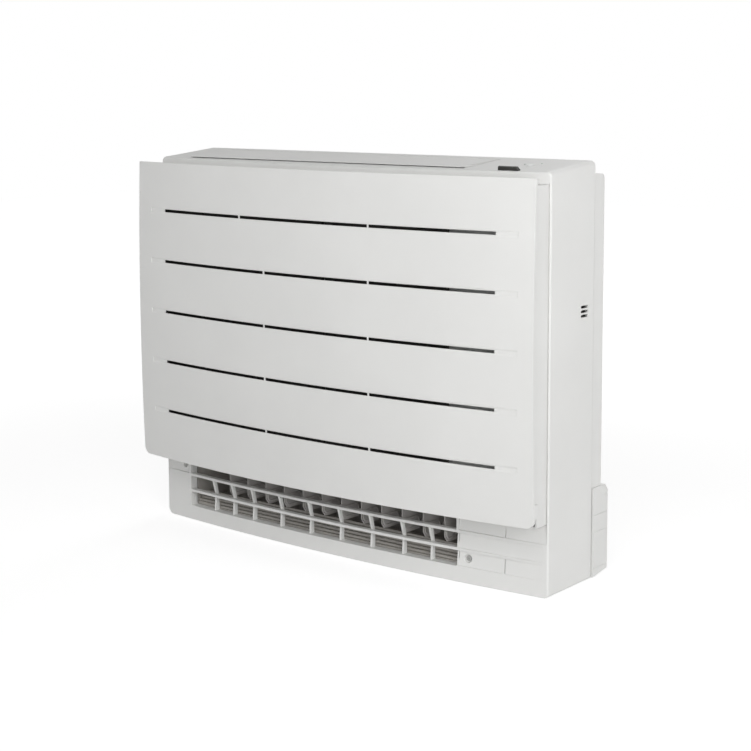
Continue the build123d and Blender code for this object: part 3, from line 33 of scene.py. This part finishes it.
def map_range(tree, value, source, target, interpolation="LINEAR"):
    """The value, taken from the source (low, high) to the target (low, high)."""
    node = tree.nodes.new("ShaderNodeMapRange")
    node.interpolation_type = interpolation
    node.inputs["From Min"].default_value = source[0]
    node.inputs["From Max"].default_value = source[1]
    node.inputs["To Min"].default_value = target[0]
    node.inputs["To Max"].default_value = target[1]
    tree.links.new(value, node.inputs["Value"])
    return node.outputs["Result"]


def calculate(tree, operation, first, second):
    """A math operation on two values, each one a number or the output of a node."""
    node = tree.nodes.new("ShaderNodeMath")
    node.operation = operation
    for socket, value in zip(node.inputs, (first, second)):
        if isinstance(value, (int, float)):
            socket.default_value = value
        else:
            tree.links.new(value, socket)
    return node.outputs["Value"]


def mix_to_output(tree, share, first, second, output_kind):
    """Two shaders, mixed by the share of the second, as the tree's result."""
    mix = tree.nodes.new("ShaderNodeMixShader")
    tree.links.new(share, mix.inputs["Fac"])
    tree.links.new(first, mix.inputs[1])
    tree.links.new(second, mix.inputs[2])
    output = tree.nodes.new(output_kind)
    tree.links.new(mix.outputs["Shader"], output.inputs["Surface"])


def scaled_colour(colour, factor):
    """A colour made lighter or darker by a factor."""
    return tuple(min(1.0, channel * factor) for channel in colour)


BAND_SCALE = pi / 10              # scale of the wave texture at one band per metre
BEVEL_SAMPLES = 6


class Surface:
    """One material's node tree, with short calls for the nodes that it is made of."""

    def __init__(self, name):
        self.material = bpy.data.materials.new(name)
        self.material.use_nodes = True
        self.tree = self.material.node_tree
        self.shader = self.tree.nodes["Principled BSDF"]
        self.coords = self.tree.nodes.new("ShaderNodeTexCoord").outputs["Object"]

    def set(self, **values):
        """Constant values on the shader's own sockets; spaces in names are underscores."""
        for key, value in values.items():
            self.shader.inputs[key.replace("_", " ")].default_value = value

    def link(self, output, key):
        """A node's output, joined to one of the shader's sockets."""
        self.tree.links.new(output, self.shader.inputs[key])

    def texture(self, kind, scale, stretch=(1, 1, 1)):
        """A texture node on the piece's own coordinates, stretched along the axes."""
        place = self.tree.nodes.new("ShaderNodeMapping")
        place.inputs["Scale"].default_value = stretch
        self.tree.links.new(self.coords, place.inputs["Vector"])
        node = self.tree.nodes.new(kind)
        node.inputs["Scale"].default_value = scale
        self.tree.links.new(place.outputs["Vector"], node.inputs["Vector"])
        return node

    def noise(self, cells, detail=2.0, stretch=(1, 1, 1)):
        """Noise of a number of cells per metre, times the stretch along each axis."""
        node = self.texture("ShaderNodeTexNoise", cells, stretch)
        node.inputs["Detail"].default_value = detail
        return node.outputs["Fac"]

    def ridges(self, pitch, direction):
        """Even ridges across one axis, one every `pitch` metres."""
        node = self.texture("ShaderNodeTexWave", BAND_SCALE / pitch)
        node.bands_direction = direction
        return node.outputs["Fac"]

    def between(self, value, low, high):
        """A value from 0 to 1, taken to the range from low to high."""
        return map_range(self.tree, value, (0.0, 1.0), (low, high))

    def combine(self, operation, first, second):
        """The result of a math operation on two values."""
        return calculate(self.tree, operation, first, second)

    def colour(self, value, dark, light, low=0.3, high=0.7):
        """Base colour that runs from dark to light as the value goes from low to high."""
        node = self.tree.nodes.new("ShaderNodeValToRGB")
        for element, position, tone in zip(node.color_ramp.elements, (low, high), (dark, light)):
            element.position = position
            element.color = (*tone, 1)
        self.tree.links.new(value, node.inputs["Fac"])
        self.link(node.outputs["Color"], "Base Color")

    def cloudy_colour(self, value, colour, spread):
        """Base colour that strays both ways from one colour, by a share of it."""
        self.colour(value, scaled_colour(colour, 1 - spread), scaled_colour(colour, 1 + spread))

    def bump(self, height, distance, strength=1.0, edge=0.0):
        """Bump from a height; a radius `edge` also rounds the sharp edges in the shading."""
        node = self.tree.nodes.new("ShaderNodeBump")
        node.inputs["Strength"].default_value = strength
        node.inputs["Distance"].default_value = distance
        self.tree.links.new(height, node.inputs["Height"])
        if edge:
            bevel = self.tree.nodes.new("ShaderNodeBevel")
            bevel.samples = BEVEL_SAMPLES
            bevel.inputs["Radius"].default_value = edge
            self.tree.links.new(bevel.outputs["Normal"], node.inputs["Normal"])
        self.link(node.outputs["Normal"], "Normal")


# ---------------------------------------------------------------- plastic and bare metal
SHADE_CELLS = 7.0                 # shade changes of a moulding, cells per metre
PATCH_CELLS = 30.0                # patches of other roughness
GRAIN_ROUGHNESS = 0.04            # how far the grain and the patches change the roughness
PATCH_ROUGHNESS = 0.03
MARK_CELLS = 900.0                # drawn or rolled marks of bare metal
CLOUD_CELLS = 45.0


def moulded_plastic(name, colour, roughness, grain=0.04 * MM, grain_size=0.6 * MM, spread=0.02,
                    edge=0.7 * MM, gloss=0.45):
    """Plastic with a spark-eroded grain, faint shade changes and slightly rounded edges."""
    surface = Surface(name)
    surface.cloudy_colour(surface.noise(SHADE_CELLS, 3.0), colour, spread)
    fine = surface.noise(1 / grain_size, 3.0)
    patch = surface.noise(PATCH_CELLS, 4.0)
    uneven = surface.combine("ADD", surface.between(fine, -GRAIN_ROUGHNESS, GRAIN_ROUGHNESS),
                             surface.between(patch, -PATCH_ROUGHNESS, PATCH_ROUGHNESS))
    surface.link(surface.combine("ADD", uneven, roughness), "Roughness")
    surface.set(Specular_IOR_Level=gloss)
    surface.bump(fine, grain, 0.6, edge)
    return surface


def metal(name, colour, roughness, stretch=(1, 1, 1), spread=0.06):
    """Bare metal with drawn or rolled marks along one direction."""
    surface = Surface(name)
    marks = surface.noise(MARK_CELLS, 3.0, stretch)
    surface.cloudy_colour(surface.noise(CLOUD_CELLS, 4.0), colour, spread)
    surface.link(surface.between(marks, roughness - 0.08, roughness + 0.1), "Roughness")
    surface.set(Metallic=1.0)
    surface.bump(marks, 0.02 * MM, 0.5, 0.3 * MM)
    return surface


# ---------------------------------------------------------------- materials, one per slot


def casing_plastic():
    return moulded_plastic("casing_plastic", (0.81, 0.81, 0.795), 0.52, edge=1.2 * MM, gloss=0.3)


def panel_plastic():
    return moulded_plastic("panel_plastic", (0.79, 0.79, 0.775), 0.36, edge=0.9 * MM)


def shell_plastic():
    return moulded_plastic("shell_plastic", (0.80, 0.80, 0.785), 0.48)


def base_plastic():
    return moulded_plastic("base_plastic", (0.79, 0.79, 0.775), 0.46)


def button_plastic():
    return moulded_plastic("button_plastic", (0.76, 0.77, 0.76), 0.35, edge=0.4 * MM)


def stopper_plastic():
    return moulded_plastic("stopper_plastic", (0.62, 0.64, 0.66), 0.5)


def grille_plastic():
    return moulded_plastic("grille_plastic", (0.66, 0.67, 0.66), 0.5)


def inner_plastic():
    return moulded_plastic("inner_plastic", (0.33, 0.335, 0.335), 0.6, spread=0.06)


def duct_plastic():
    return moulded_plastic("duct_plastic", (0.42, 0.402, 0.375), 0.55, spread=0.12)


def vane_plastic():
    return moulded_plastic("vane_plastic", (0.51, 0.492, 0.478), 0.5, spread=0.08)


def fan_plastic():
    return moulded_plastic("fan_plastic", (0.05, 0.052, 0.055), 0.5, spread=0.1)


def terminal_plastic():
    return moulded_plastic("terminal_plastic", (0.70, 0.70, 0.64), 0.45, edge=0.3 * MM)


def deodorising_felt():
    return moulded_plastic("deodorising_felt", (0.025, 0.025, 0.028), 0.85, grain=0.3 * MM,
                           grain_size=1.0 * MM, spread=0.3)


def motor_casing():
    """Painted sheet metal, with the orange-peel skin of thick paint."""
    surface = moulded_plastic("motor_casing", (0.45, 0.46, 0.47), 0.4, grain=0.1 * MM,
                              grain_size=1.5 * MM)
    surface.set(Metallic=0.3)
    return surface


def pan_foam():
    """Foamed polystyrene: small closed beads."""
    surface = Surface("pan_foam")
    beads = surface.texture("ShaderNodeTexVoronoi", 350.0).outputs["Distance"]
    surface.colour(beads, (0.74, 0.74, 0.72), (0.64, 0.64, 0.62))
    surface.set(Roughness=0.8)
    surface.bump(beads, 0.3 * MM, 0.5)
    return surface


def filter_net():
    """Woven net: a fine square mesh of dark threads, with painted shade in the holes between them.
    """
    surface = Surface("filter_net")
    threads = surface.combine("MAXIMUM", surface.ridges(1.2 * MM, "X"),
                              surface.ridges(1.2 * MM, "Z"))
    # painted shade: darkest in the holes between the threads, the threads themselves a little
    # lighter
    surface.colour(threads, (0.012, 0.011, 0.010), (0.055, 0.052, 0.048), 0.55, 0.9)
    surface.set(Roughness=0.7)
    surface.bump(threads, 0.3 * MM, 0.8)
    return surface


def fin_aluminium():
    """Thin upright fins, closely spaced; the colour darkens to painted shade in the gaps between
    the fins.
    """
    surface = Surface("fin_aluminium")
    fins = surface.ridges(1.4 * MM, "X")
    # painted shade: the troughs between the fins are dark, the crests keep the aluminium's own
    # tone
    surface.colour(fins, (0.12, 0.125, 0.13), (0.62, 0.64, 0.66), 0.2, 0.8)
    surface.set(Metallic=0.9, Roughness=0.42)
    surface.bump(fins, 0.4 * MM, 0.9)
    return surface


def galvanised_steel():
    """Zinc spangle over sheet steel: flakes of even tone."""
    surface = Surface("galvanised_steel")
    spangle = surface.texture("ShaderNodeTexVoronoi", 90.0)
    flake = surface.tree.nodes.new("ShaderNodeSeparateColor")
    surface.tree.links.new(spangle.outputs["Color"], flake.inputs["Color"])
    tone = flake.outputs["Red"]
    surface.colour(tone, (0.42, 0.44, 0.45), (0.56, 0.58, 0.59), 0.0, 1.0)
    surface.link(surface.between(tone, 0.32, 0.5), "Roughness")
    surface.set(Metallic=1.0)
    surface.bump(surface.noise(600.0, 3.0), 0.03 * MM, 0.4, 0.4 * MM)
    return surface


def stepper_steel():
    return metal("stepper_steel", (0.60, 0.60, 0.57), 0.35)


def shaft_steel():
    return metal("shaft_steel", (0.50, 0.50, 0.50), 0.3, (0.1, 3, 0.1))


def screw_steel():
    return metal("screw_steel", (0.42, 0.42, 0.41), 0.28)


def copper():
    return metal("copper", (0.78, 0.38, 0.22), 0.3, (0.2, 1, 1), spread=0.12)


def brass():
    return metal("brass", (0.75, 0.57, 0.25), 0.3, spread=0.08)


def hose_rubber():
    """Corrugated drain hose: rings along the upright run, with painted shade in the grooves
    between them.
    """
    surface = Surface("hose_rubber")
    rings = surface.ridges(4.5 * MM, "Z")
    # painted shade: darker in the grooves between the rings, lighter on their crests
    surface.colour(rings, (0.34, 0.35, 0.35), (0.46, 0.47, 0.47))
    surface.set(Roughness=0.6)
    surface.bump(rings, 0.8 * MM, 0.8)
    return surface


def smoked_window():
    """Dark polished cover over the receiver."""
    surface = Surface("smoked_window")
    cloud = surface.noise(60.0, 3.0)
    surface.colour(cloud, (0.010, 0.010, 0.009), (0.035, 0.034, 0.030))
    surface.link(surface.between(surface.noise(500.0), 0.08, 0.16), "Roughness")
    surface.set(Coat_Weight=0.15, Coat_Roughness=0.05, Specular_IOR_Level=0.25)
    surface.bump(cloud, 0.02 * MM, 0.3, 0.4 * MM)
    return surface


def lamp_lens():
    """Pale green, slightly see-through."""
    surface = Surface("lamp_lens")
    surface.colour(surface.noise(900.0), (0.30, 0.42, 0.32), (0.42, 0.55, 0.42))
    surface.set(Roughness=0.15, Transmission_Weight=0.3)
    surface.bump(surface.noise(300.0), 0.03 * MM, 0.3, 0.2 * MM)
    return surface


def circuit_board():
    """Green solder mask with faint straight tracks."""
    surface = Surface("circuit_board")
    tracks = surface.texture("ShaderNodeTexBrick", 60.0)
    tracks.inputs["Color1"].default_value = (0.015, 0.085, 0.035, 1)
    tracks.inputs["Color2"].default_value = (0.02, 0.11, 0.045, 1)
    tracks.inputs["Mortar"].default_value = (0.05, 0.20, 0.09, 1)
    tracks.inputs["Mortar Size"].default_value = 0.03
    surface.link(tracks.outputs["Color"], "Base Color")
    surface.set(Roughness=0.3)
    surface.bump(tracks.outputs["Fac"], 0.05 * MM, 0.5, 0.2 * MM)
    return surface


MAKERS = (
    casing_plastic, panel_plastic, shell_plastic, base_plastic, button_plastic, stopper_plastic,
    grille_plastic, inner_plastic, duct_plastic, vane_plastic, fan_plastic, terminal_plastic,
    pan_foam, filter_net, deodorising_felt, fin_aluminium, galvanised_steel, stepper_steel,
    shaft_steel, screw_steel, copper, brass, motor_casing, hose_rubber, smoked_window, lamp_lens,
    circuit_board,
)
materials = {maker.__name__: maker().material for maker in MAKERS}

for subpart in frame["record"]["subparts"]:
    mesh = frame["nodes"][subpart["node"]].data
    mesh.materials.clear()
    mesh.materials.append(materials[subpart["material_slot"]])

# ---------------------------------------------------------------- floor and backdrop
WHITE = (1.0, 1.0, 1.0, 1.0)
PAPER = (0.82, 0.82, 0.82, 1.0)
FLOOR_SIZE = 12.0
FLOOR_DROP = 0.2 * MM             # keeps the floor just clear of the object's underside
GLOW_SHARE = 0.5                  # of plain white in the floor that is seen; the rest is lit paper
GLOW_REACH = (0.7, 2.2)           # the glow rises between these distances from the middle
GLOW_STRENGTH = (1.56, 1.82)


def camera_or_glossy(tree):
    """1 for rays that the camera, a reflection or a refraction sends out, else 0."""
    path = tree.nodes.new("ShaderNodeLightPath")
    seen = path.outputs["Is Camera Ray"]
    for name in ("Is Glossy Ray", "Is Transmission Ray"):
        seen = calculate(tree, "MAXIMUM", seen, path.outputs[name])
    return seen


def white_floor():
    """Pale floor: mostly plain white to the camera, with a soft share of real shadow."""
    material = bpy.data.materials.new("floor_paper")
    material.use_nodes = True
    tree = material.node_tree
    tree.nodes.clear()
    paper = tree.nodes.new("ShaderNodeBsdfDiffuse")
    paper.inputs["Color"].default_value = PAPER
    glow = tree.nodes.new("ShaderNodeEmission")
    glow.inputs["Color"].default_value = WHITE
    place = tree.nodes.new("ShaderNodeTexCoord")
    away = tree.nodes.new("ShaderNodeVectorMath")
    away.operation = "LENGTH"
    tree.links.new(place.outputs["Object"], away.inputs[0])
    strength = map_range(tree, away.outputs["Value"], GLOW_REACH, GLOW_STRENGTH, "SMOOTHSTEP")
    tree.links.new(strength, glow.inputs["Strength"])
    share = calculate(tree, "MULTIPLY", camera_or_glossy(tree), GLOW_SHARE)
    mix_to_output(tree, share, paper.outputs["BSDF"], glow.outputs["Emission"],
                  "ShaderNodeOutputMaterial")
    return material


floor_mesh = bpy.data.meshes.new("floor")
half = FLOOR_SIZE / 2
floor_mesh.from_pydata(
    [(-half, -half, 0), (half, -half, 0), (half, half, 0), (-half, half, 0)], [], [(0, 1, 2, 3)]
)
floor = bpy.data.objects.new("floor", floor_mesh)
floor.location.z = -FLOOR_DROP
bpy.context.scene.collection.objects.link(floor)
floor_mesh.materials.append(white_floor())

# ---------------------------------------------------------------- light
SKY_HEIGHT = (0.15, 0.55)         # the soft light dims between these heights of its direction
SKY_STRENGTH = (0.78, 0.14)
LAMP_AIM = (0, 0, 0.3)
LAMPS = (                         # name, place, size, watts
    ("key", (1.9, -1.6, 0.8), 1.3, 22.0),
    ("high", (0.8, -1.8, 2.0), 1.0, 14.0),
    ("side", (2.5, 0.0, 0.6), 1.0, 5.0),
    ("rear", (-0.6, 2.4, 2.2), 1.2, 16.0),
)


def studio_world():
    """Soft light from low directions; plain white to the camera and in reflections."""
    world = bpy.data.worlds.new("studio")
    world.use_nodes = True
    tree = world.node_tree
    tree.nodes.clear()
    soft = tree.nodes.new("ShaderNodeBackground")
    soft.inputs["Color"].default_value = WHITE
    direction = tree.nodes.new("ShaderNodeTexCoord")
    height = tree.nodes.new("ShaderNodeSeparateXYZ")
    tree.links.new(direction.outputs["Generated"], height.inputs["Vector"])
    strength = map_range(tree, height.outputs["Z"], SKY_HEIGHT, SKY_STRENGTH)
    tree.links.new(strength, soft.inputs["Strength"])
    plain = tree.nodes.new("ShaderNodeBackground")
    plain.inputs["Color"].default_value = WHITE
    plain.inputs["Strength"].default_value = 1.0
    mix_to_output(tree, camera_or_glossy(tree), soft.outputs["Background"],
                  plain.outputs["Background"], "ShaderNodeOutputWorld")
    return world


def area_lamp(name, place, size, watts):
    """Square lamp that faces the object."""
    data = bpy.data.lights.new(name, "AREA")
    data.shape = "SQUARE"
    data.size = size
    data.energy = watts
    lamp = bpy.data.objects.new(name, data)
    lamp.location = place
    lamp.rotation_mode = "QUATERNION"
    lamp.rotation_quaternion = (Vector(LAMP_AIM) - Vector(place)).to_track_quat("-Z", "Y")
    bpy.context.scene.collection.objects.link(lamp)


bpy.context.scene.world = studio_world()
for lamp_values in LAMPS:
    area_lamp(*lamp_values)

# ---------------------------------------------------------------- camera
IMAGE = 751                       # pixels, square
SENSOR = 36.0
FOCAL_PX = 1632.3
HORIZON_PX = 270                  # row of the optical axis in the picture
YAW = 0.6705                      # radians
PITCH = 0.1190
ROLL = -0.0039
CAMERA_PLACE = (1.5401, -1.8947, 0.7187)
CAMERA_REACH = 50


def studio_camera():
    """Camera that looks along its yaw and pitch, turned by its roll about that line."""
    data = bpy.data.cameras.new("camera")
    data.sensor_width = SENSOR
    data.lens = FOCAL_PX * SENSOR / IMAGE
    data.shift_y = (HORIZON_PX - IMAGE / 2) / IMAGE
    data.clip_end = CAMERA_REACH
    ahead = Vector((-sin(YAW) * cos(PITCH), cos(YAW) * cos(PITCH), -sin(PITCH)))
    level = Vector((cos(YAW), sin(YAW), 0))
    upward = level.cross(ahead)
    right = cos(ROLL) * level + sin(ROLL) * upward
    up = -sin(ROLL) * level + cos(ROLL) * upward
    turn = Matrix((right, up, -ahead)).transposed().to_4x4()
    camera = bpy.data.objects.new("camera", data)
    camera.matrix_world = Matrix.Translation(CAMERA_PLACE) @ turn
    bpy.context.scene.collection.objects.link(camera)
    return camera


bpy.context.scene.camera = studio_camera()
bpy.context.scene.view_settings.view_transform = "Standard"
